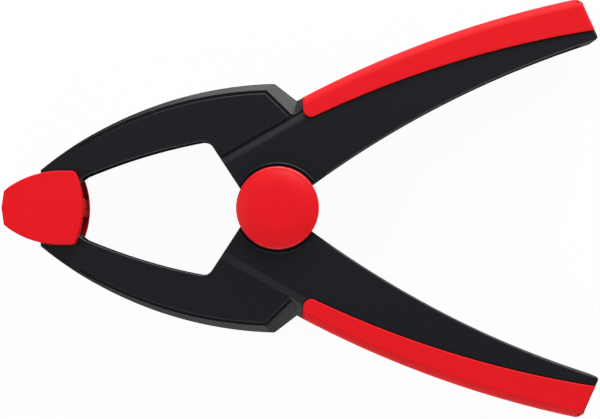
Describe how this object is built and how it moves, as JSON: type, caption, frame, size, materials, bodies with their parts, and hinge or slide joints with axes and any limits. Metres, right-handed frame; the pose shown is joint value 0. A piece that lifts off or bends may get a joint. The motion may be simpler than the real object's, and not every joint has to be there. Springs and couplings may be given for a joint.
{
  "type": "spring clamp",
  "caption": "Hand spring clamp with two hinged nylon levers, soft red grips, swivelling red jaw pads and round red pivot caps over a torsion spring.",
  "frame": {"origin": "centre of the rear cap's flat face, under the pivot, which the clamp lies on", "axes": "+X along the clamp's long axis from the pivot towards the handles, with the jaws along -X; +Y towards the upper lever's handle; +Z along the pivot pin, out of the front cap"},
  "size_m": [0.1781, 0.1254, 0.026],
  "materials": {
    "lever_nylon": "finely textured glass-filled nylon, charcoal black",
    "grip_soft": "satin soft-touch elastomer, bright red",
    "cap_plastic": "smooth semi-gloss, bright red",
    "pad_plastic": "satin non-marring plastic, bright red",
    "pin_steel": "bright drawn steel",
    "spring_steel": "drawn spring steel, lightly oiled"
  },
  "bodies": {
    "lower_arm": {"lower_lever": "lever_nylon", "lower_grip": "grip_soft", "pivot_pin": "pin_steel", "torsion_spring": "spring_steel", "front_cap": "cap_plastic", "rear_cap": "cap_plastic", "lower_pad_pin": "pin_steel"},
    "upper_arm": {"upper_lever": "lever_nylon", "upper_grip": "grip_soft", "upper_pad_pin": "pin_steel"},
    "upper_jaw_pad": {"upper_pad": "pad_plastic"},
    "lower_jaw_pad": {"lower_pad": "pad_plastic"}
  },
  "joints": [
    {"name": "lever_pivot", "type": "hinge", "parent": "lower_arm", "child": "upper_arm", "pos_m": [0, 0, 0.01301], "axis": [0, 0, -1], "range_deg": [0, 44], "stiffness_Nm_per_rad": 4, "springref_deg": -40.11, "deforming": ["torsion_spring"]},
    {"name": "upper_pad_swivel", "type": "hinge", "parent": "upper_arm", "child": "upper_jaw_pad", "pos_m": [-0.068, 0.00635, 0.01301], "axis": [0, 0, 1], "range_deg": [0, 22]},
    {"name": "lower_pad_swivel", "type": "hinge", "parent": "lower_arm", "child": "lower_jaw_pad", "pos_m": [-0.068, -0.00635, 0.01301], "axis": [0, 0, -1], "range_deg": [0, 22]}
  ],
  "couplings": [
    {"joint": "upper_pad_swivel", "follows": "lever_pivot", "ratio": 0.5},
    {"joint": "lower_pad_swivel", "follows": "lever_pivot", "ratio": 0.5}
  ]
}
